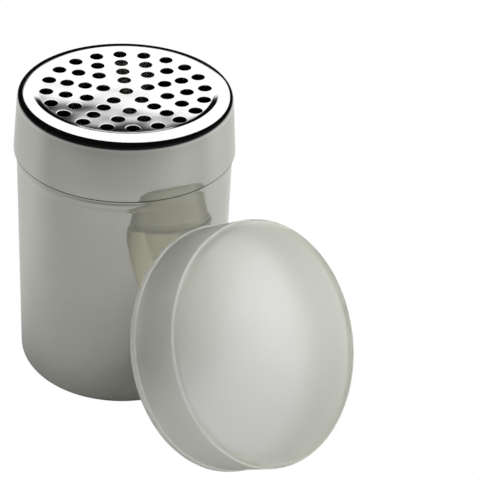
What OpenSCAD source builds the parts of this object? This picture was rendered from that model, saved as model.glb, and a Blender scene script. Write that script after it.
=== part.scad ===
// Spice shaker of drawn sheet steel with a slip-on perforated lid and a plastic cover cap.
// The body stands on its base. The cap is off, and leans against the body with its mouth inwards.
// Millimetres, +Z up. The origin is the centre of the base, on the table.

/* [Sheet steel] */
// Thickness of the drawn sheet of the body and the lid
sheet_t = 0.5; // [0.4:0.05:0.8]

/* [Body] */
// Outside diameter of the body's straight wall
body_d = 68.2; // [60:0.1:80]
// Height of the lid's lower edge above the table
seam_z = 77.5; // [50:0.1:120]
// Outside radius of the rounding between wall and base
base_round_r = 2.5; // [1:0.1:8]
// Height of the shallow bead rolled round the wall below the lid
bead_h = 4.6; // [3:0.1:8]
// How far the bead stands out of the wall
bead_rise = 0.2; // [0.1:0.05:0.5]
// Distance from the lid's lower edge down to the bead's top
bead_gap = 0.3; // [0.1:0.1:3]

/* [Lid] */
// Height of the lid from its lower edge to its highest line
lid_h = 20.4; // [14:0.1:40]
// Sideways clearance between the lid's lower edge and the body's wall
skirt_gap = 0.4; // [0.1:0.05:0.6]
// Taper of the lid's side wall, from upright
lid_draft = 4.8; // [1:0.1:6]
// Outside radius of the corner between the side wall and the crown
corner_r = 2.4; // [1.5:0.1:3]
// Radius of the crown, the gently domed border round the top
crown_r = 9.5; // [6:0.1:12]
// Slope of the crown where it runs into the corner
crown_slope = 16; // [10:0.5:25]
// Radius of the edge on the crown's inner side
edge_r = 1.5; // [1:0.1:2]
// Slope of the ramp from that edge down to the perforated field
ramp_angle = 30; // [22:1:40]
// Depth of the perforated field below the lid's highest line
field_depth = 0.9; // [0.8:0.1:1.5]
// Radius of the blend between the ramp and the field
field_blend_r = 1; // [0.5:0.1:1.5]
// Sideways clearance of the body's neck in the lid, at the neck's top
neck_fit = 0.1; // [0.06:0.01:0.3]
// Clearance between the neck's rim and the lid's corner resting on it
seat_gap = 0.05; // [0.02:0.01:0.06]

/* [Holes] */
// Diameter of one shaking hole
hole_d = 4; // [2:0.1:5]
// Radius of the innermost ring of holes
first_ring_r = 7.3; // [6:0.1:7.8]
// Flat left between the outermost holes and the blend round the field
hole_margin = 0.3; // [0.2:0.1:2]
// Number of rings round the centre hole
ring_count = 4; // [2:1:4]
// Holes in the innermost ring; each further ring has as many more
ring_step = 5; // [3:1:5]
// Turn of the hole pattern about the lid's axis
hole_turn = 22.2; // [0:0.1:72]

/* [Cap] */
// Depth of the cap outside, from its mouth to its face
cap_h = 19.8; // [12:0.1:30]
// Wall thickness of the cap
cap_wall_t = 2; // [1:0.1:3]
// Sideways clearance of the cap over the lid's lower edge
cap_fit = 0.5; // [0.2:0.1:1.5]
// How far the lip round the mouth stands out of the cap's wall
lip_rise = 0.5; // [0.2:0.1:1]
// Height of the lip along the cap's axis
lip_h = 2.4; // [2.2:0.1:4]
// Outside radius of the rounding round the cap's face
cap_round_r = 1.6; // [0.5:0.1:4]
// Radius of the corner inside the cap, between wall and face
cap_corner_r = 1; // [0.3:0.1:4]

/* [Leaning cap] */
// Lean of the cap's mouth, from upright
cap_lean = 32.5; // [15:0.5:60]
// Direction that the cap's face points in, from the front towards the right
cap_facing = 46; // [0:0.1:90]
// Direction from the body's axis to the centre of the cap's mouth, the same way round
cap_bearing = 34.6; // [0:0.1:90]
// Clearance between the leaning cap and the body
lean_gap = 0.3; // [0.1:0.05:1]

/* [Hidden] */
$fn = 180;
// Overlap that keeps a cut from ending exactly on a face
cut = 1;

// Body's outside radius, and the circle whose arc is the bead
body_r = body_d / 2;
bead_arc_r = (pow(bead_h / 2, 2) + pow(bead_rise, 2)) / (2 * bead_rise);
bead_z = seam_z - bead_gap - bead_h / 2;

// Lid's outside radius at its lower edge, and its highest line
lid_r = body_r + skirt_gap + sheet_t;
lid_top_z = seam_z + lid_h;

// Centres of the corner and of the crown, whose arcs meet at the crown's slope
crown_z = lid_top_z - crown_r;
corner_z = crown_z + (crown_r - corner_r) * cos(crown_slope);
corner_c = lid_r - (corner_z - seam_z) * tan(lid_draft) - corner_r / cos(lid_draft);
crown_c = corner_c - (crown_r - corner_r) * sin(crown_slope);
edge_z = lid_top_z - edge_r;

// Perforated field's height, its edge where the ramp meets it, and the rings of holes in it
field_z = lid_top_z - field_depth;
ramp_drop = edge_z + edge_r * cos(ramp_angle) - field_z;
field_r = crown_c - edge_r * sin(ramp_angle) - ramp_drop / tan(ramp_angle);
last_ring_r = field_r - field_blend_r * tan(ramp_angle / 2) - hole_margin - hole_d / 2;
ring_pitch = (last_ring_r - first_ring_r) / (ring_count - 1);

// Neck's outside radius at the top, and the rounded rim that the lid's corner rests on
rim_r = sheet_t / 2;
neck_r = corner_c + corner_r - sheet_t - neck_fit;
rim_c = neck_r - rim_r;
rim_z = corner_z + sqrt(pow(corner_r - sheet_t - seat_gap - rim_r, 2) - pow(rim_c - corner_c, 2));

// Cap's inside radius, and the outside radii of its wall and lip
cap_in_r = lid_r + cap_fit;
cap_out_r = cap_in_r + cap_wall_t;
lip_r = cap_out_r + lip_rise;

// Cap's own directions: out of its face, level across its mouth, and up across its mouth
cap_axis = [cos(cap_lean) * sin(cap_facing), -cos(cap_lean) * cos(cap_facing), sin(cap_lean)];
cap_side = [cos(cap_facing), sin(cap_facing), 0];
cap_up = cross(cap_axis, cap_side);
bearing = [sin(cap_bearing), -cos(cap_bearing), 0];

// The lip is round, so its lowest point touches the table, and its nearest point nears the body
lip_c = lip_r - lip_rise;
mouth_z = lip_c * cos(cap_lean) - lip_rise * sin(cap_lean) + lip_rise;
function level(v) = [v[0], v[1], 0];
function lip_point(a) = level(lip_rise * cap_axis + lip_c * (cos(a) * cap_side + sin(a) * cap_up));
function reach(p) = pow(body_r + lean_gap + lip_rise, 2) - p * p + pow(bearing * p, 2);
function stand_off(p) = reach(p) > 0 ? sqrt(reach(p)) - bearing * p : 0;
mouth_r = max([for (a = [0 : 0.5 : 180]) stand_off(lip_point(a))]);

// Cross-section of the body's outside, or of its inside when moved in by the sheet
module body_section(in) {
    round_c = [body_r - base_round_r, base_round_r];
    polygon([
        [0, in],
        [round_c[0], in],
        round_c,
        [body_r - in, round_c[1]],
        [body_r - in, seam_z],
        [neck_r - in, rim_z],
        [neck_r - in, rim_z + in],
        [0, rim_z + in]
    ]);
    translate(round_c) circle(base_round_r - in);
    intersection() {
        translate([body_r + bead_rise - bead_arc_r, bead_z]) circle(bead_arc_r - in);
        translate([body_r / 2, bead_z - bead_h]) square([body_r, 2 * bead_h]);
    }
}

// Drawn cup with a rounded base, a bead below the lid and a tapered neck in the lid
module shaker_body() {
    color([0.66, 0.66, 0.63])
    rotate_extrude() {
        difference() {
            body_section(0);
            body_section(sheet_t);
        }
        translate([rim_c, rim_z]) circle(rim_r);
    }
}

// Cross-section below the lid's outside, or below its inside when moved in by the sheet
module lid_section(in) {
    blend_r = field_blend_r + in;
    blend_run = blend_r * tan(ramp_angle / 2);
    corner = [corner_c, corner_z];
    crown = [crown_c, crown_z];
    edge = [crown_c, edge_z];
    side_top = corner + (corner_r - in) * [cos(lid_draft), sin(lid_draft)];
    bottom = [side_top[0] + (side_top[1] - seam_z + in) * tan(lid_draft), seam_z - in];
    crown_end = crown + (crown_r - in) * [sin(crown_slope), cos(crown_slope)];
    top = [crown_c, lid_top_z - in];
    ramp_top = edge + (edge_r - in) * [-sin(ramp_angle), cos(ramp_angle)];
    foot = [field_r + in * tan(ramp_angle / 2), field_z - in];
    polygon([
        [0, bottom[1]],
        bottom,
        side_top,
        corner,
        crown_end,
        top,
        edge,
        ramp_top,
        foot,
        [0, foot[1]]
    ]);
    translate(corner) circle(corner_r - in);
    translate(edge) circle(edge_r - in);
    intersection() {
        translate(crown) circle(crown_r - in);
        polygon([crown, crown + 2 * (crown_end - crown), crown + 2 * (top - crown)]);
    }
    difference() {
        polygon([
            foot,
            foot + blend_run * [cos(ramp_angle), sin(ramp_angle)],
            foot + [-blend_run, blend_r],
            foot - [blend_run, 0]
        ]);
        translate(foot + [-blend_run, blend_r]) circle(blend_r);
    }
}

// One hole at the centre and rings of holes round it, right through the field
module holes() {
    translate([0, 0, field_z - sheet_t - cut]) {
        cylinder(h = sheet_t + 2 * cut, d = hole_d);
        for (ring = [1 : ring_count])
            for (i = [1 : ring * ring_step])
                rotate(hole_turn + i * 360 / (ring * ring_step))
                translate([first_ring_r + (ring - 1) * ring_pitch, 0])
                cylinder(h = sheet_t + 2 * cut, d = hole_d);
    }
}

// Drawn lid: tapered side wall, domed border, and a sunken field with the shaking holes
module perforated_lid() {
    color([0.75, 0.75, 0.74])
    difference() {
        rotate_extrude() difference() {
            lid_section(0);
            lid_section(sheet_t);
        }
        holes();
    }
}

// Cross-section of a round cup of the given radius and height, with its top corner rounded
module cup_section(r, low, high, round_r) {
    round_c = [r - round_r, high - round_r];
    polygon([[0, low], [r, low], [r, round_c[1]], round_c, [round_c[0], high], [0, high]]);
    translate(round_c) circle(round_r);
}

// Moulded cap on its own axis: mouth at the bottom, face on top, and a lip round the mouth
module upright_cap() {
    rotate_extrude() difference() {
        union() {
            cup_section(cap_out_r, 0, cap_h, cap_round_r);
            translate([lip_c, lip_rise]) circle(lip_rise);
            translate([lip_c, lip_h - lip_rise]) circle(lip_rise);
            translate([lip_c, lip_rise]) square([lip_rise, lip_h - 2 * lip_rise]);
        }
        cup_section(cap_in_r, -cut, cap_h - cap_wall_t, cap_corner_r);
    }
}

// Cap off the lid: its lip stands on the table, and its mouth leans on the body
module cover_cap() {
    color([0.82, 0.84, 0.83])
    translate(mouth_r * bearing + [0, 0, mouth_z])
    rotate([90 - cap_lean, 0, cap_facing])
    upright_cap();
}

shaker_body();
perforated_lid();
cover_cap();
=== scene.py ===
import math

import bmesh
import bpy
from mathutils import Matrix, Vector


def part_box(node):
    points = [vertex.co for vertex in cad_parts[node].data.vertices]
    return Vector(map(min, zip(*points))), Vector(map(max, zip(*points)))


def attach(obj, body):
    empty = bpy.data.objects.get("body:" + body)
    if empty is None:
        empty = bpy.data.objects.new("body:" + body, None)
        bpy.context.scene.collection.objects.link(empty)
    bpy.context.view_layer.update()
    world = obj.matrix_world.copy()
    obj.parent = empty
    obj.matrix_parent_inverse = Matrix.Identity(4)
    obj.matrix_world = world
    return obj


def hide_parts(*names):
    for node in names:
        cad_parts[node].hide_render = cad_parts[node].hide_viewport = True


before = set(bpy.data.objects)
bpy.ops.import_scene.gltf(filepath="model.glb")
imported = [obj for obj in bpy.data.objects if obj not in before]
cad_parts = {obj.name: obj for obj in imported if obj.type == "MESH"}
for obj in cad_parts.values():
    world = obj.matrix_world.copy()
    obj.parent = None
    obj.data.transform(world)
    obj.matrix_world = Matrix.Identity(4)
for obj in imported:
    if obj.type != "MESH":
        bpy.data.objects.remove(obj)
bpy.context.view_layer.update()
scene = bpy.context.scene
scene.view_settings.view_transform = "Standard"


# ---- Camera ----
# It looks down on the lid from in front, with the long lens of a product shot. A small lens
# shift moves the frame down.
CAMERA_AT = Vector((-0.006744, -0.418443, 0.316579))
PITCH, YAW, ROLL = math.radians(31.642), math.radians(6.057), math.radians(3.636)
IMAGE_PX, FOCAL_PX, CENTRE_RAISED_PX = 480, 1514.97, 40
SENSOR_MM = 36

camera = bpy.data.objects.new("camera", bpy.data.cameras.new("camera"))
camera.data.sensor_width = SENSOR_MM
camera.data.lens = FOCAL_PX * SENSOR_MM / IMAGE_PX
camera.data.shift_y = -CENTRE_RAISED_PX / IMAGE_PX
camera.data.clip_start, camera.data.clip_end = 0.01, 20
ahead = Vector((math.sin(YAW) * math.cos(PITCH), math.cos(YAW) * math.cos(PITCH), -math.sin(PITCH)))
level_right = Vector((math.cos(YAW), -math.sin(YAW), 0))
level_up = level_right.cross(ahead)
right = math.cos(ROLL) * level_right + math.sin(ROLL) * level_up
up = math.cos(ROLL) * level_up - math.sin(ROLL) * level_right
turn = Matrix((right, up, -ahead)).transposed()
camera.matrix_world = Matrix.Translation(CAMERA_AT) @ turn.to_4x4()
scene.collection.objects.link(camera)
scene.camera = camera


# ---- Studio ----
# A round white diffuser overhead, tilted to the back, in a dark room. The floor is pale and shows
# pure white to the camera; for everything else it carries painted light and shade, a glow behind
# the body, and a painted fade into the dark room far off.
DIFFUSER, ROOM, HAZE = 1.80, 0.005, (0.8, 0.8, 0.8, 1)
DIFFUSER_TOWARDS, DIFFUSER_EDGE, DIFFUSER_SOFT = Vector((0.20, 0.41, 0.89)).normalized(), 0.66, 0.02
# Its front ends where a direction's height, with this share of its sideways reach, gets this low
DIFFUSER_DROOP, DIFFUSER_FRONT = 0.80, (0.416, 0.473)
# Painted light and shade on the floor, as (from, to, tone at from, tone at to), in metres towards
# the back and the right: darker in front and to the left, lighter to the right
FLOOR_PAINTED_SHADE_BACK = ((-0.10, 0.10, 0.60, 0.63), (-0.28, -0.12, 0.78, 1.00))
FLOOR_PAINTED_LIGHT_RIGHT = ((-0.25, -0.05, 0.91, 1.00), (0.05, 0.25, 1.00, 1.10))
FLOOR_GLOW, FLOOR_FADE, FLOOR_FAR = (-0.06, 0.04, 0.0, 0.16), (0.22, 0.44), 0.01
FLOOR_BLUE, GLOW_TINT, FLOOR_HALF = 0.96, (1, 1, 0.97, 1), 3
# The white floor as it shows through the frosted cap, with painted shade in front and to the left and
# painted light to the right; and for rays off the steel, their share, a painted brightening and a warm
# tint
WHITE_PAINTED_SHADE_BACK, WHITE_PAINTED_LIGHT_RIGHT = ((-0.05, 0.03, 0.57, 1.00),), ((-0.04, 0.10, 0.62, 1.18),)
OFF_STEEL_SHARE, OFF_STEEL_PAINTED_GAIN, OFF_STEEL_PAINTED_TINT = 0.85, 1.5, (1.0, 0.96, 0.76)
FILL_AT, FILL_SIZE, FILL_POWER = Vector((0.45, -0.68, 0.42)), 0.5, 4.2


class Nodes:
    """Adds nodes to one tree; a socket given as a value is set, one given as a socket is linked."""

    def __init__(self, tree):
        self.tree = tree

    def add(self, kind, inputs=(), **settings):
        node = self.tree.nodes.new(kind)
        for name, value in settings.items():
            setattr(node, name, value)
        for key, value in dict(inputs).items():
            if isinstance(value, bpy.types.NodeSocket):
                self.tree.links.new(value, node.inputs[key])
            else:
                node.inputs[key].default_value = value
        return node

    def math(self, operation, *values, clamp=False):
        inputs = dict(enumerate(values))
        return self.add("ShaderNodeMath", inputs, operation=operation, use_clamp=clamp).outputs[0]

    def ramp(self, value, low, high, at_low=0.0, at_high=1.0):
        """A smooth step of value from low to high."""
        inputs = {0: value, 1: low, 2: high, 3: at_low, 4: at_high}
        return self.add("ShaderNodeMapRange", inputs, interpolation_type="SMOOTHSTEP").outputs[0]

    def ramps(self, value, spans):
        """The product of several smooth steps, each given as (low, high, at_low, at_high)."""
        product = 1.0
        for span in spans:
            product = self.math("MULTIPLY", product, self.ramp(value, *span))
        return product


def new_material(name):
    """A material without nodes, and what adds them."""
    material = bpy.data.materials.new(name)
    material.use_nodes = True
    material.node_tree.nodes.clear()
    return material, Nodes(material.node_tree)


def straight_view(n):
    """1 for rays straight from the camera or through the frosted cap, less of it off the steel."""
    path = n.add("ShaderNodeLightPath").outputs
    direct = n.ramp(path["Glossy Depth"], 0.0, 1.0, 1.0, OFF_STEEL_SHARE)
    through = n.math("MULTIPLY", path["Is Transmission Ray"], direct)
    return n.math("MAXIMUM", path["Is Camera Ray"], through)


world = bpy.data.worlds.new("studio")
scene.world = world
world.use_nodes = True
world.node_tree.nodes.clear()
n = Nodes(world.node_tree)
towards = n.add("ShaderNodeTexCoord").outputs["Generated"]
axes = n.add("ShaderNodeSeparateXYZ", {0: towards}).outputs
off = n.add("ShaderNodeVectorMath", {0: towards, 1: DIFFUSER_TOWARDS}, operation="DOT_PRODUCT")
above = n.math("MULTIPLY", n.math("ABSOLUTE", axes["X"]), DIFFUSER_DROOP)
above = n.ramp(n.math("ADD", axes["Z"], above), *DIFFUSER_FRONT)
within = n.ramp(off.outputs["Value"], DIFFUSER_EDGE - DIFFUSER_SOFT, DIFFUSER_EDGE + DIFFUSER_SOFT)
diffuser = n.math("MULTIPLY", within, above)
tone = n.add("ShaderNodeMix", {0: diffuser, 2: ROOM, 3: DIFFUSER}, data_type="FLOAT").outputs[0]
strength = n.add("ShaderNodeMix", {0: straight_view(n), 2: tone, 3: 1.0}, data_type="FLOAT").outputs[0]
light = n.add("ShaderNodeBackground", {"Color": HAZE, "Strength": strength})
n.add("ShaderNodeOutputWorld", {"Surface": light.outputs[0]})

sheet = bmesh.new()
bmesh.ops.create_grid(sheet, x_segments=8, y_segments=8, size=FLOOR_HALF)
floor = bpy.data.objects.new("floor", bpy.data.meshes.new("floor"))
sheet.to_mesh(floor.data)
sheet.free()
scene.collection.objects.link(floor)
paper, n = new_material("floor_paper")
path = n.add("ShaderNodeLightPath").outputs
place = n.add("ShaderNodeTexCoord").outputs["Object"]
far = n.add("ShaderNodeVectorMath", {0: place}, operation="LENGTH").outputs["Value"]
place = n.add("ShaderNodeSeparateXYZ", {0: place}).outputs
behind, aside = place["Y"], place["X"]
# Painted light and shade: the floor's tone by place, darker in front and to the left, lighter to the
# right
floor_light_and_shade = n.math("MULTIPLY", n.ramps(behind, FLOOR_PAINTED_SHADE_BACK), n.ramps(aside, FLOOR_PAINTED_LIGHT_RIGHT))
lost = n.ramp(far, *FLOOR_FADE)
fade = n.add("ShaderNodeMix", {0: lost, 2: floor_light_and_shade, 3: FLOOR_FAR}, data_type="FLOAT").outputs[0]
warm = n.add("ShaderNodeCombineColor", {0: fade, 1: fade, 2: n.math("MULTIPLY", fade, FLOOR_BLUE)})
matt = n.add("ShaderNodeBsdfDiffuse", {"Color": warm.outputs[0]})
glow = n.math("MULTIPLY", n.ramp(behind, *FLOOR_GLOW), n.math("SUBTRACT", 1.0, lost))
lit = n.add("ShaderNodeEmission", {"Color": GLOW_TINT, "Strength": glow})
grey = n.add("ShaderNodeAddShader", {0: matt.outputs[0], 1: lit.outputs[0]})
off_steel = path["Glossy Depth"]
# Painted shade and light on the white floor seen through the cap; off the steel it is painted brighter
# and warmer
shaded = n.math("MULTIPLY", n.ramps(behind, WHITE_PAINTED_SHADE_BACK), n.ramps(aside, WHITE_PAINTED_LIGHT_RIGHT))
shaded = n.math("MULTIPLY", shaded, n.ramp(off_steel, 0.0, 1.0, 1.0, OFF_STEEL_PAINTED_GAIN))
strength = n.math("MAXIMUM", path["Is Camera Ray"], shaded)
painted_reflection_tint = n.add("ShaderNodeCombineColor", {channel: n.ramp(off_steel, 0.0, 1.0, 1.0, share)
                                          for channel, share in enumerate(OFF_STEEL_PAINTED_TINT)})
white = n.add("ShaderNodeEmission", {"Color": painted_reflection_tint.outputs[0], "Strength": strength})
both = n.add("ShaderNodeMixShader", {0: straight_view(n), 1: grey.outputs[0], 2: white.outputs[0]})
n.add("ShaderNodeOutputMaterial", {"Surface": both.outputs[0]})
floor.data.materials.append(paper)

# A weak fill from the front right lights the matt cap; the steel doesn't mirror it
fill = bpy.data.objects.new("fill", bpy.data.lights.new("fill", "AREA"))
fill.data.size, fill.data.energy = FILL_SIZE, FILL_POWER
fill.location = FILL_AT
fill.rotation_euler = (-FILL_AT).to_track_quat("-Z", "Y").to_euler()
fill.visible_glossy = fill.visible_transmission = False
scene.collection.objects.link(fill)


# ---- Shaker body ----
# A cup of 0.5 mm stainless sheet, deep drawn and spun: straight wall, rounded foot, a shallow
# bead rolled out below the lid, and a tapered neck with a rounded rim inside the lid.
MM = 0.001
SHEET = 0.5
BODY_R, BODY_FOOT_R, SEAM_Z = 34.1, 2.5, 77.5
BEAD_H, BEAD_RISE, BEAD_GAP = 4.2, 0.2, 0.1
NECK_R, NECK_RIM_Z = 32.90, 95.87
# The neck sets out this far in from the wall and above the seam
NECK_IN, NECK_UP = 0.03, 0.1
BODY_TURNS, BODY_STEP = 360, 6.0
SHARP_FROM = math.radians(38)
# Sheet as rolled: how its drawn lines stretch, the scale of its cloudy tone, and how dull it is
SHEET_LINES, SHEET_CLOUDS, SHEET_DULL = (90, 90, 5000), 45, (0.06, 0.09)
SHEET_MARK_DEPTH, SHEET_MARK_STRENGTH = 0.00001, 0.10
# Nearly all values of a noise lie between these
NOISE_SPAN = (0.3, 0.7)
BODY_DARK, BODY_PALE, BODY_DULL_DRIFT = (0.565, 0.565, 0.540, 1), (0.600, 0.600, 0.572, 1), 0.01


def arc(at_r, at_z, radius, start, end, steps):
    """Points on an arc in the r-z plane, from one angle to the other, in degrees from +r."""
    angles = [math.radians(start + (end - start) * i / steps) for i in range(steps + 1)]
    return [(at_r + radius * math.cos(a), at_z + radius * math.sin(a)) for a in angles]


def spaced(points, longest):
    """The same outline with extra points, so that no step is longer than the given length."""
    dense = [points[0]]
    for a, b in zip(points, points[1:]):
        parts = max(1, math.ceil(math.dist(a, b) / longest))
        dense += [(a[0] + (b[0] - a[0]) * i / parts, a[1] + (b[1] - a[1]) * i / parts)
                  for i in range(1, parts + 1)]
    return dense


def turned(name, outline, turns, closed=False):
    """A mesh lathed about Z from (r, z) points in mm. A point on the axis becomes one pole."""
    mesh = bmesh.new()
    rings = []
    for r, z in outline:
        if r < 1e-6:
            rings.append([mesh.verts.new((0, 0, z * MM))] * turns)
            continue
        ring = []
        for i in range(turns):
            a = 2 * math.pi * i / turns
            ring.append(mesh.verts.new((r * MM * math.cos(a), r * MM * math.sin(a), z * MM)))
        rings.append(ring)
    pairs = list(zip(rings, rings[1:])) + ([(rings[-1], rings[0])] if closed else [])
    for low, high in pairs:
        for i in range(turns):
            j = (i + 1) % turns
            corners = list(dict.fromkeys((low[i], low[j], high[j], high[i])))
            if len(corners) > 2:
                mesh.faces.new(corners)
    bmesh.ops.recalc_face_normals(mesh, faces=mesh.faces)
    data = bpy.data.meshes.new(name)
    mesh.to_mesh(data)
    mesh.free()
    return finished(name, data)


def finished(name, data):
    """An object at the origin with smooth faces, and sharp edges only where the metal turns hard."""
    data.shade_smooth()
    data.set_sharp_from_angle(angle=SHARP_FROM)
    piece = bpy.data.objects.new(name, data)
    scene.collection.objects.link(piece)
    return piece


def body_outline():
    """The cup's section from the base's centre up the outside, over the rim and down inside."""
    middle, half = SEAM_Z - BEAD_GAP - BEAD_H / 2, BEAD_H / 2
    bead = [(BODY_R + BEAD_RISE * math.cos(math.pi / 2 * i / 12) ** 2, middle + half * i / 12)
            for i in range(-12, 13)]
    foot = arc(BODY_R - BODY_FOOT_R, BODY_FOOT_R, BODY_FOOT_R, -90, 0, 12)
    rim = arc(NECK_R - SHEET / 2, NECK_RIM_Z - SHEET / 2, SHEET / 2, 0, 180, 8)
    outside = [(0, 0)] + foot + bead + [(BODY_R - NECK_IN, SEAM_Z + NECK_UP)] + rim
    in_foot = arc(BODY_R - BODY_FOOT_R, BODY_FOOT_R, BODY_FOOT_R - SHEET, 0, -90, 10)
    in_bead = [(r - SHEET, z) for r, z in reversed(bead)]
    inside = [(BODY_R - SHEET - NECK_IN, SEAM_Z + NECK_UP)] + in_bead + in_foot + [(0, SHEET)]
    return spaced(outside + inside, BODY_STEP)


def grain_group():
    """Fine marks of rolled and brushed sheet: a height, a roughness change and a cloudy tone."""
    tree = bpy.data.node_groups.new("sheet_grain", "ShaderNodeTree")
    face = tree.interface
    face.new_socket("Stretch", in_out="INPUT", socket_type="NodeSocketVector")
    face.new_socket("Cloud Scale", in_out="INPUT", socket_type="NodeSocketFloat")
    face.new_socket("Height", in_out="OUTPUT", socket_type="NodeSocketFloat")
    face.new_socket("Streaks", in_out="OUTPUT", socket_type="NodeSocketFloat")
    face.new_socket("Clouds", in_out="OUTPUT", socket_type="NodeSocketFloat")
    g = Nodes(tree)
    given = g.add("NodeGroupInput").outputs
    place = g.add("ShaderNodeTexCoord").outputs["Object"]
    drawn = g.add("ShaderNodeVectorMath", {0: place, 1: given["Stretch"]}, operation="MULTIPLY")
    lines = g.add("ShaderNodeTexNoise", {"Vector": drawn.outputs[0], "Scale": 1.0, "Detail": 3.0})
    fine = g.add("ShaderNodeTexNoise", {"Vector": place, "Scale": 9000.0, "Detail": 1.0})
    clouds = g.add("ShaderNodeTexNoise",
                   {"Vector": place, "Scale": given["Cloud Scale"], "Detail": 4.0, "Roughness": 0.55})
    height = g.math("ADD", lines.outputs["Fac"], g.math("MULTIPLY", fine.outputs["Fac"], 0.6))
    g.add("NodeGroupOutput",
          {"Height": height, "Streaks": lines.outputs["Fac"], "Clouds": clouds.outputs["Fac"]})
    return tree


grain = grain_group()


def sheet_marks(n):
    """The sheet's marks placed in a material: the group's outputs, its dullness and a fine bump."""
    marks = n.add("ShaderNodeGroup", node_tree=grain)
    marks.inputs["Stretch"].default_value = SHEET_LINES
    marks.inputs["Cloud Scale"].default_value = SHEET_CLOUDS
    dull = n.ramp(marks.outputs["Streaks"], *NOISE_SPAN, *SHEET_DULL)
    bump = n.add("ShaderNodeBump", {"Height": marks.outputs["Height"],
                                    "Strength": SHEET_MARK_STRENGTH, "Distance": SHEET_MARK_DEPTH})
    return marks.outputs, dull, bump.outputs[0]


def body_steel():
    """Bright sheet, a little uneven in tone and dullness, with fine lines round the wall."""
    steel, n = new_material("body_sheet")
    marks, dull, bump = sheet_marks(n)
    cloudy = n.ramp(marks["Clouds"], *NOISE_SPAN)
    tint = n.add("ShaderNodeMix", {0: cloudy, 6: BODY_DARK, 7: BODY_PALE}, data_type="RGBA")
    drift = n.ramp(marks["Clouds"], *NOISE_SPAN, -BODY_DULL_DRIFT, BODY_DULL_DRIFT)
    rough = n.math("ADD", dull, drift)
    shade = n.add("ShaderNodeBsdfPrincipled",
                  {"Base Color": tint.outputs[2], "Metallic": 1.0, "Roughness": rough, "Normal": bump})
    n.add("ShaderNodeOutputMaterial", {"Surface": shade.outputs[0]})
    return steel


body = turned("steel_body", body_outline(), BODY_TURNS)
body.data.materials.append(body_steel())
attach(body, "body")
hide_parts("shaker_body")


# ---- Perforated lid ----
# A second drawn cup of the same sheet, with a tapered side wall. Its domed border and its
# slightly dished field are buffed paler. The holes are punched from above, so their edges roll in.
LID_R, LID_TOP_Z, LID_DRAFT = 35.0, 97.9, 4.5
SHOULDER_R, SHOULDER_TURN = 7.0, 16
CORNER_R, CROWN_R, CROWN_SLOPE, EDGE_R = 2.4, 9.5, 16, 1.5
RAMP, BLEND_R = 17, 0.6
DISH_Z, DISH_CURVE = 96.80, 0.00076
LID_TURNS, LID_STEP = 384, 5.0
LID_EDGE_R, LID_BREAK_IN, LID_BREAK_UP = 0.25, 0.05, 0.06
HOLE_R, HOLE_ROLL, HOLE_FLANGE, HOLE_BURR = 2.0, 0.3, 0.04, 0.05
FIRST_RING_R, RING_PITCH, RING_COUNT, RING_STEP, HOLE_TURN = 7.3, 5.772, 4, 5, 22.2
HOLE_SIDES, ROLL_STEPS, JOIN_WITHIN = 64, 4, 0.005
# Painted shade of the gap at the seam darkens the lid's edge up to here; the buffing starts and is full
# at these heights
SEAM_SHADE_TOP_Z, SEAM_SHADE_SOFT, BUFFED_Z = 77.95, 0.1, (93.5, 95.0)
# The field is slightly wavy within the first radius and even beyond the second
WAVY_R, WAVE_SCALE, WAVE_DEPTH, WAVE_MOVED = (26.2, 27.5), 75.0, 0.00023, (0.031, 0.002, 0)
# The first colour is painted shade: the nearly black lid edge at the seam, standing in for the shadow
# in the gap
SEAM_PAINTED_SHADE, SIDE_TINT, TOP_TINT = (0.10, 0.10, 0.09, 1), (0.58, 0.58, 0.555, 1), (0.71, 0.715, 0.71, 1)
BUFFED_DULL = (0.05, 0.09)


def dish_z(r):
    """Height of the dished field at a radius."""
    return DISH_Z + DISH_CURVE * r * r


def field_edge():
    """Where the blend meets the dish: its radius, the dish's slope there and the blend's centre."""
    ramp = math.radians(RAMP)
    foot_r, foot_z = CROWN_C - EDGE_R * math.sin(ramp), EDGE_Z + EDGE_R * math.cos(ramp)
    r = foot_r - 1
    for _ in range(60):
        slope = math.atan(2 * DISH_CURVE * r)
        c = (r - BLEND_R * math.sin(slope), dish_z(r) + BLEND_R * math.cos(slope))
        off = (c[0] - foot_r) * -math.sin(ramp) + (c[1] - foot_z) * math.cos(ramp)
        r += (off - BLEND_R) / math.sin(ramp)
    return r, math.degrees(slope), c


CROWN_Z = LID_TOP_Z - CROWN_R
EDGE_Z = LID_TOP_Z - EDGE_R
draft, lean_in = math.radians(LID_DRAFT), math.radians(CROWN_SLOPE)
CORNER_Z = CROWN_Z + (CROWN_R - CORNER_R) * math.cos(lean_in)
SHOULDER_IN = (SHOULDER_R - CORNER_R) * (1 - math.cos(math.radians(SHOULDER_TURN - LID_DRAFT)))
CORNER_C = LID_R - (CORNER_Z - SEAM_Z) * math.tan(draft) - (CORNER_R + SHOULDER_IN) / math.cos(draft)
SHOULDER_C = CORNER_C - (SHOULDER_R - CORNER_R) * math.cos(math.radians(SHOULDER_TURN))
SHOULDER_Z = CORNER_Z - (SHOULDER_R - CORNER_R) * math.sin(math.radians(SHOULDER_TURN))
CROWN_C = CORNER_C - (CROWN_R - CORNER_R) * math.sin(lean_in)
FIELD_R, FIELD_SLOPE, BLEND_AT = field_edge()


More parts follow.
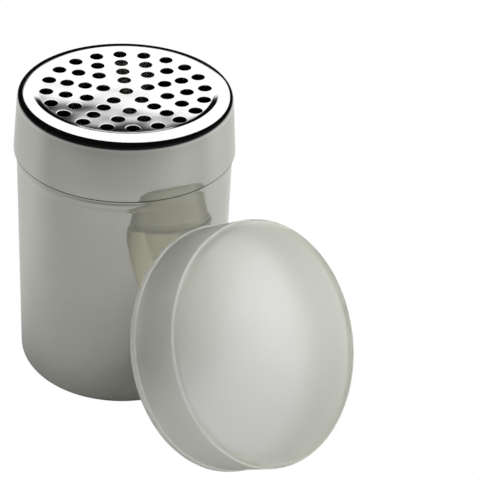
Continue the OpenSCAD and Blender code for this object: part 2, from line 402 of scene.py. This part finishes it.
def lid_outline():
    """The lid's section from the field's edge over the border, down the side and back inside."""
    turns_to = 90 - CROWN_SLOPE
    outer = arc(*BLEND_AT, BLEND_R, FIELD_SLOPE - 90, RAMP - 90, 5)
    outer += arc(CROWN_C, EDGE_Z, EDGE_R, 90 + RAMP, 90, 7)
    outer += arc(CROWN_C, CROWN_Z, CROWN_R, 90, turns_to, 8)[1:]
    outer += arc(CORNER_C, CORNER_Z, CORNER_R, turns_to, SHOULDER_TURN, 12)[1:]
    outer += arc(SHOULDER_C, SHOULDER_Z, SHOULDER_R, SHOULDER_TURN, LID_DRAFT, 6)[1:]
    outer += arc(LID_R - LID_EDGE_R, SEAM_Z + LID_EDGE_R, LID_EDGE_R, LID_DRAFT, -90, 8)
    inner = [(LID_R - SHEET + LID_BREAK_IN, SEAM_Z), (LID_R - SHEET, SEAM_Z + LID_BREAK_UP)]
    inner += arc(CORNER_C, CORNER_Z, CORNER_R - SHEET, LID_DRAFT, turns_to, 12)
    inner += arc(CROWN_C, CROWN_Z, CROWN_R - SHEET, turns_to, 90, 6)[1:]
    inner += arc(CROWN_C, EDGE_Z, EDGE_R - SHEET, 90, 90 + RAMP, 5)[1:]
    inner += arc(*BLEND_AT, BLEND_R + SHEET, RAMP - 90, FIELD_SLOPE - 90, 5)[:-1]
    inner += [(FIELD_R, dish_z(FIELD_R) - SHEET)]
    return spaced(outer + inner, LID_STEP)


def perforation_tree():
    """Geometry Nodes: punches rings of holes in a round dished sheet and joins it to the border."""
    tree = bpy.data.node_groups.new("punched_field", "GeometryNodeTree")
    face = tree.interface
    face.new_socket("Border", in_out="INPUT", socket_type="NodeSocketGeometry")
    sizes = {}
    for name in ("Field Radius", "Sheet", "Field Height", "Dish", "Hole Radius", "Roll", "Flange",
                 "Burr", "First Ring", "Ring Pitch", "Turn"):
        sizes[name] = face.new_socket(name, in_out="INPUT", socket_type="NodeSocketFloat")
    for name in ("Rings", "Ring Step"):
        sizes[name] = face.new_socket(name, in_out="INPUT", socket_type="NodeSocketInt")
    sizes["Steel"] = face.new_socket("Steel", in_out="INPUT", socket_type="NodeSocketMaterial")
    face.new_socket("Lid", in_out="OUTPUT", socket_type="NodeSocketGeometry")
    g = Nodes(tree)
    given = g.add("NodeGroupInput").outputs
    index = g.add("GeometryNodeInputIndex").outputs[0]

    # Hole centres: ring k has k times the ring step, one ring after the other. k is the root of
    # a quadratic in the hole's number, and 1e-4 keeps it from falling just below a whole number
    step, rings = given["Ring Step"], given["Rings"]
    per_ring = g.math("MULTIPLY", g.math("MULTIPLY", rings, g.math("ADD", rings, 1.0)), 0.5)
    count = g.math("ADD", g.math("MULTIPLY", per_ring, step), 1.0)
    j = g.math("SUBTRACT", index, 1.0)
    eighth = g.math("DIVIDE", g.math("MULTIPLY", j, 8.0), step)
    root = g.math("SQRT", g.math("MAXIMUM", g.math("ADD", eighth, 1.0), 0.0))
    k = g.math("FLOOR", g.math("ADD", g.math("MULTIPLY", g.math("ADD", root, 1.0), 0.5), 1e-4))
    before = g.math("MULTIPLY", g.math("MULTIPLY", k, g.math("SUBTRACT", k, 1.0)),
                    g.math("MULTIPLY", step, 0.5))
    part = g.math("DIVIDE", g.math("SUBTRACT", j, before), g.math("MULTIPLY", step, k))
    angle = g.math("ADD", g.math("MULTIPLY", part, 2 * math.pi), given["Turn"])
    spread = g.math("ADD", given["First Ring"],
                    g.math("MULTIPLY", g.math("SUBTRACT", k, 1.0), given["Ring Pitch"]))
    out = g.math("MULTIPLY", spread, g.math("MINIMUM", index, 1.0))
    centre = g.add("ShaderNodeCombineXYZ", {0: g.math("MULTIPLY", out, g.math("COSINE", angle)),
                                            1: g.math("MULTIPLY", out, g.math("SINE", angle))})
    centres = g.add("GeometryNodePoints", {"Count": count, "Position": centre.outputs[0]}).outputs[0]

    # The sheet between the holes: a disc filled round one flange circle for each hole
    flange = g.math("ADD", g.math("ADD", given["Hole Radius"], given["Roll"]), given["Flange"])
    hole_line = g.add("GeometryNodeCurvePrimitiveCircle", {"Resolution": HOLE_SIDES, "Radius": flange})
    hole_lines = g.add("GeometryNodeInstanceOnPoints",
                       {"Points": centres, "Instance": hole_line.outputs[0]}).outputs[0]
    edge_line = g.add("GeometryNodeCurvePrimitiveCircle",
                      {"Resolution": LID_TURNS, "Radius": given["Field Radius"]})
    lines = g.add("GeometryNodeJoinGeometry")
    tree.links.new(g.add("GeometryNodeRealizeInstances", {0: hole_lines}).outputs[0], lines.inputs[0])
    tree.links.new(edge_line.outputs[0], lines.inputs[0])
    top = g.add("GeometryNodeFillCurve", {"Curve": lines.outputs[0]}).outputs[0]
    down = g.add("ShaderNodeCombineXYZ", {2: g.math("MULTIPLY", given["Sheet"], -1.0)}).outputs[0]
    under = g.add("GeometryNodeTransform", {"Geometry": top, "Translation": down}).outputs[0]

    # One punched edge, row by row: flange, rolled lip, wall, a small burr and back out below it
    rows = ROLL_STEPS + 5
    grid = g.add("GeometryNodeMeshGrid", {"Size X": 1.0, "Size Y": 1.0, "Vertices X": HOLE_SIDES + 1,
                                          "Vertices Y": rows})
    row = g.math("MODULO", index, rows)
    column = g.math("FLOOR", g.math("DIVIDE", g.math("ADD", index, 0.5), rows))
    rolled = g.math("MULTIPLY", g.math("SUBTRACT", row, 1.0), 1 / ROLL_STEPS, clamp=True)
    rolled = g.math("MULTIPLY", rolled, math.pi / 2)
    wall = g.math("SUBTRACT", row, ROLL_STEPS + 1, clamp=True)
    burr = g.math("SUBTRACT", row, ROLL_STEPS + 2, clamp=True)
    below = g.math("SUBTRACT", row, ROLL_STEPS + 3, clamp=True)
    wide = g.math("MULTIPLY", given["Roll"], g.math("SUBTRACT", 1.0, g.math("SINE", rolled)))
    wide = g.math("ADD", wide, g.math("MULTIPLY", given["Flange"],
                                      g.math("SUBTRACT", 1.0, row, clamp=True)))
    wide = g.math("ADD", wide, g.math("MULTIPLY", given["Burr"], burr))
    back_out = g.math("SUBTRACT", g.math("ADD", given["Roll"], given["Flange"]), given["Burr"])
    wide = g.math("ADD", wide, g.math("MULTIPLY", back_out, below))
    ring_r = g.math("ADD", given["Hole Radius"], wide)
    deep = g.math("MULTIPLY", given["Roll"], g.math("SUBTRACT", 1.0, g.math("COSINE", rolled)))
    straight = g.math("SUBTRACT", g.math("SUBTRACT", given["Sheet"], given["Roll"]), given["Burr"])
    deep = g.math("ADD", deep, g.math("MULTIPLY", straight, wall))
    deep = g.math("ADD", deep, g.math("MULTIPLY", given["Burr"], burr))
    swing = g.math("MULTIPLY", column, 2 * math.pi / HOLE_SIDES)
    place = g.add("ShaderNodeCombineXYZ", {0: g.math("MULTIPLY", ring_r, g.math("COSINE", swing)),
                                           1: g.math("MULTIPLY", ring_r, g.math("SINE", swing)),
                                           2: g.math("MULTIPLY", deep, -1.0)}).outputs[0]
    edge = g.add("GeometryNodeSetPosition", {"Geometry": grid.outputs["Mesh"], "Position": place})
    edges = g.add("GeometryNodeInstanceOnPoints", {"Points": centres, "Instance": edge.outputs[0]})
    edges = g.add("GeometryNodeRealizeInstances", {0: edges.outputs[0]}).outputs[0]

    # Sink the sheet to its dish, and join it to the border
    field = g.add("GeometryNodeJoinGeometry")
    for part_mesh in (top, under, edges):
        tree.links.new(part_mesh, field.inputs[0])
    at = g.add("ShaderNodeSeparateXYZ", {0: g.add("GeometryNodeInputPosition").outputs[0]}).outputs
    square = g.math("ADD", g.math("MULTIPLY", at[0], at[0]), g.math("MULTIPLY", at[1], at[1]))
    rise = g.math("ADD", given["Field Height"], g.math("MULTIPLY", square, given["Dish"]))
    lift = g.add("ShaderNodeCombineXYZ", {2: rise}).outputs[0]
    sunk = g.add("GeometryNodeSetPosition", {"Geometry": field.outputs[0], "Offset": lift})
    whole = g.add("GeometryNodeJoinGeometry")
    tree.links.new(sunk.outputs[0], whole.inputs[0])
    tree.links.new(given["Border"], whole.inputs[0])
    merged = g.add("GeometryNodeMergeByDistance",
                   {"Geometry": whole.outputs[0], "Distance": JOIN_WITHIN * MM})
    real = g.add("GeometryNodeRealizeInstances", {0: merged.outputs[0]})
    clad = g.add("GeometryNodeSetMaterial", {"Geometry": real.outputs[0], "Material": given["Steel"]})
    g.add("NodeGroupOutput", {0: clad.outputs[0]})
    return tree, {name: socket.identifier for name, socket in sizes.items()}


def lid_steel():
    """The same sheet, buffed on top and slightly wavy in the field; painted shade darkens the edge at
    the seam.
    """
    steel, n = new_material("lid_sheet")
    marks, dull, bump = sheet_marks(n)
    place = n.add("ShaderNodeTexCoord").outputs["Object"]
    height = n.add("ShaderNodeSeparateXYZ", {0: place}).outputs["Z"]
    out = n.add("ShaderNodeVectorMath", {0: place, 1: (1, 1, 0)}, operation="MULTIPLY").outputs[0]
    out = n.add("ShaderNodeVectorMath", {0: out}, operation="LENGTH").outputs["Value"]
    top = n.ramp(height, BUFFED_Z[0] * MM, BUFFED_Z[1] * MM)
    # Painted shade: the lid's edge is painted nearly black from the seam to just above it
    wall = n.ramp(height, (SEAM_SHADE_TOP_Z - SEAM_SHADE_SOFT) * MM, (SEAM_SHADE_TOP_Z + SEAM_SHADE_SOFT) * MM)
    field = n.ramp(out, WAVY_R[0] * MM, WAVY_R[1] * MM, 1.0, 0.0)
    tint = n.add("ShaderNodeMix", {0: top, 6: SIDE_TINT, 7: TOP_TINT}, data_type="RGBA")
    tint = n.add("ShaderNodeMix", {0: wall, 6: SEAM_PAINTED_SHADE, 7: tint.outputs[2]}, data_type="RGBA")
    top_dull = n.ramp(marks["Clouds"], *NOISE_SPAN, *BUFFED_DULL)
    rough = n.add("ShaderNodeMix", {0: top, 2: dull, 3: top_dull}, data_type="FLOAT")
    moved = n.add("ShaderNodeVectorMath", {0: place, 1: WAVE_MOVED}).outputs[0]
    waves = n.add("ShaderNodeTexNoise", {"Vector": moved, "Scale": WAVE_SCALE, "Detail": 0.6})
    uneven = n.add("ShaderNodeBump", {"Height": waves.outputs["Fac"], "Strength": field,
                                      "Distance": WAVE_DEPTH, "Normal": bump})
    shade = n.add("ShaderNodeBsdfPrincipled",
                  {"Base Color": tint.outputs[2], "Metallic": 1.0, "Roughness": rough.outputs[0],
                   "Normal": uneven.outputs[0]})
    n.add("ShaderNodeOutputMaterial", {"Surface": shade.outputs[0]})
    return steel


border = turned("lid_border", lid_outline(), LID_TURNS)
punched, sockets = perforation_tree()
punch = border.modifiers.new("punched_field", "NODES")
punch.node_group = punched
lid_sizes = {
    "Field Radius": FIELD_R * MM, "Sheet": SHEET * MM, "Field Height": DISH_Z * MM,
    "Dish": DISH_CURVE / MM, "Hole Radius": HOLE_R * MM, "Roll": HOLE_ROLL * MM,
    "Flange": HOLE_FLANGE * MM, "Burr": HOLE_BURR * MM, "First Ring": FIRST_RING_R * MM,
    "Ring Pitch": RING_PITCH * MM, "Turn": math.radians(HOLE_TURN), "Rings": RING_COUNT,
    "Ring Step": RING_STEP, "Steel": lid_steel(),
}
for name, value in lid_sizes.items():
    punch[sockets[name]] = value
bpy.context.view_layer.update()
made = bpy.data.meshes.new_from_object(border.evaluated_get(bpy.context.evaluated_depsgraph_get()))
bpy.data.objects.remove(border)
skin = bmesh.new()
skin.from_mesh(made)
bmesh.ops.recalc_face_normals(skin, faces=skin.faces)
skin.to_mesh(made)
skin.free()
lid = finished("steel_lid", made)
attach(lid, "lid")
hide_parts("perforated_lid")


# ---- Cover cap ----
# A plain injection-moulded cap of frosted polypropylene that closes the holes. It is off, and
# leans on the body with its mouth inwards; a lip round the mouth gives the thumb a hold.
CAP_IN_R, CAP_WALL, CAP_H = 35.5, 2.0, 19.8
CAP_R = CAP_IN_R + CAP_WALL
CAP_LIP, CAP_LIP_H, CAP_ROUND_R, CAP_CORNER_R = 0.5, 2.4, 1.6, 1.0
# The lip's upper round stops just short of level and runs out on the wall a little higher. The
# mouth's inner edge is broken. A narrow strip each side of the rounding keeps its shading even
LIP_ROUND_TO, LIP_RUN_OUT, MOUTH_BREAK, EVEN_STRIP = 84, 0.12, 0.2, 0.3
CAP_LEAN, CAP_FACING = math.radians(32.5), math.radians(46)
CAP_TURNS, CAP_STEP = 256, 4.0
# How much light passes the plain wall, the lip, the rounding round the face, and a line on it.
# The rounding is thicker plastic; it and the line are made less clear to show a painted highlight line
CAP_CLEAR = {"frosted_wall": 0.83, "frosted_lip": 0.725, "frosted_rounding": 0.53,
             "frosted_highlight_line": 0.19}
# Degrees up the rounding to that line, and either side of it to the line's and the rounding's
# ends. What stands out of the wall by more than LIP_FROM is the lip
HIGHLIGHT_LINE_AT, HIGHLIGHT_LINE_HALF, ROUNDING_HALF, LIP_FROM = 22, 9, 21, 0.02
FROST_DARK, FROST_PALE = (0.945, 0.955, 0.920, 1), (0.965, 0.975, 0.940, 1)
FROST_DULL, SAND_DEPTH = (0.36, 0.44), 0.00004


def cap_outline():
    """The cap's section on its own axis: mouth at 0, lip, wall, rounding, face, and back inside."""
    round_c = (CAP_R - CAP_ROUND_R, CAP_H - CAP_ROUND_R)
    outer = arc(CAP_R, CAP_LIP, CAP_LIP, -90, 0, 5)
    outer += arc(CAP_R, CAP_LIP_H - CAP_LIP, CAP_LIP, 0, LIP_ROUND_TO, 5)
    outer += [(CAP_R, CAP_LIP_H + LIP_RUN_OUT), (CAP_R, round_c[1] - EVEN_STRIP)]
    outer += arc(*round_c, CAP_ROUND_R, 0, 90, 15)
    outer += [(round_c[0] - EVEN_STRIP, CAP_H), (0, CAP_H), (0, CAP_H - CAP_WALL)]
    inner = arc(CAP_IN_R - CAP_CORNER_R, CAP_H - CAP_WALL - CAP_CORNER_R, CAP_CORNER_R, 90, 0, 8)
    inner += [(CAP_IN_R, MOUTH_BREAK), (CAP_IN_R + MOUTH_BREAK, 0)]
    return spaced(outer + inner, CAP_STEP)


def part_of_cap(face):
    """The part of the moulding that a face lies on, by its name in CAP_CLEAR."""
    r, z = math.hypot(face.center.x, face.center.y) / MM, face.center.z / MM
    out, over = r - CAP_R + CAP_ROUND_R, z - CAP_H + CAP_ROUND_R
    if out > 0 and over > 0:
        # Painted highlight: a band up the rounding gets the least clear plastic, so it lights up as a
        # bright line
        off_line = abs(math.degrees(math.atan2(over, out)) - HIGHLIGHT_LINE_AT)
        if off_line < HIGHLIGHT_LINE_HALF:
            return "frosted_highlight_line"
        if off_line < ROUNDING_HALF:
            return "frosted_rounding"
    return "frosted_lip" if r > CAP_R + LIP_FROM else "frosted_wall"


def frosted_plastic(name, clear):
    """Frosted polypropylene that lets the given share of the light through at each surface."""
    plastic, n = new_material(name)
    place = n.add("ShaderNodeTexCoord").outputs["Object"]
    cloud = n.add("ShaderNodeTexNoise", {"Vector": place, "Scale": 60.0, "Detail": 3.0}).outputs["Fac"]
    sand = n.add("ShaderNodeTexNoise", {"Vector": place, "Scale": 2500.0, "Detail": 2.0}).outputs["Fac"]
    tint = n.add("ShaderNodeMix", {0: cloud, 6: FROST_DARK, 7: FROST_PALE}, data_type="RGBA")
    rough = n.ramp(cloud, *NOISE_SPAN, *FROST_DULL)
    bump = n.add("ShaderNodeBump", {"Height": sand, "Strength": 0.15, "Distance": SAND_DEPTH})
    shade = n.add("ShaderNodeBsdfPrincipled",
                  {"Base Color": tint.outputs[2], "Roughness": rough, "Normal": bump.outputs[0],
                   "IOR": 1.49, "Transmission Weight": clear,
                   "Coat Weight": 0.2, "Coat Roughness": 0.15})
    n.add("ShaderNodeOutputMaterial", {"Surface": shade.outputs[0]})
    return plastic


def mouth_centre(axis):
    """Where the mouth's centre lies: the round lip reaches the left, back and foot of the CAD cap."""
    low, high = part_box("cover_cap")
    lift = [CAP_LIP * along for along in axis]
    reach = [CAP_LIP + CAP_R * math.sqrt(1 - along ** 2) for along in axis]
    return Vector((low.x + (reach[0] - lift[0]) * MM, high.y - (reach[1] + lift[1]) * MM,
                   low.z + (reach[2] - lift[2]) * MM))


cap = turned("cover_cap_moulding", cap_outline(), CAP_TURNS, closed=True)
for name, clear in CAP_CLEAR.items():
    cap.data.materials.append(frosted_plastic(name, clear))
for face in cap.data.polygons:
    face.material_index = list(CAP_CLEAR).index(part_of_cap(face))
axis = Vector((math.cos(CAP_LEAN) * math.sin(CAP_FACING), -math.cos(CAP_LEAN) * math.cos(CAP_FACING),
               math.sin(CAP_LEAN)))
across = Vector((math.cos(CAP_FACING), math.sin(CAP_FACING), 0))
leaning = Matrix((across, axis.cross(across), axis)).transposed().to_4x4()
cap.data.transform(Matrix.Translation(mouth_centre(axis)) @ leaning)
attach(cap, "cap")
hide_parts("cover_cap")
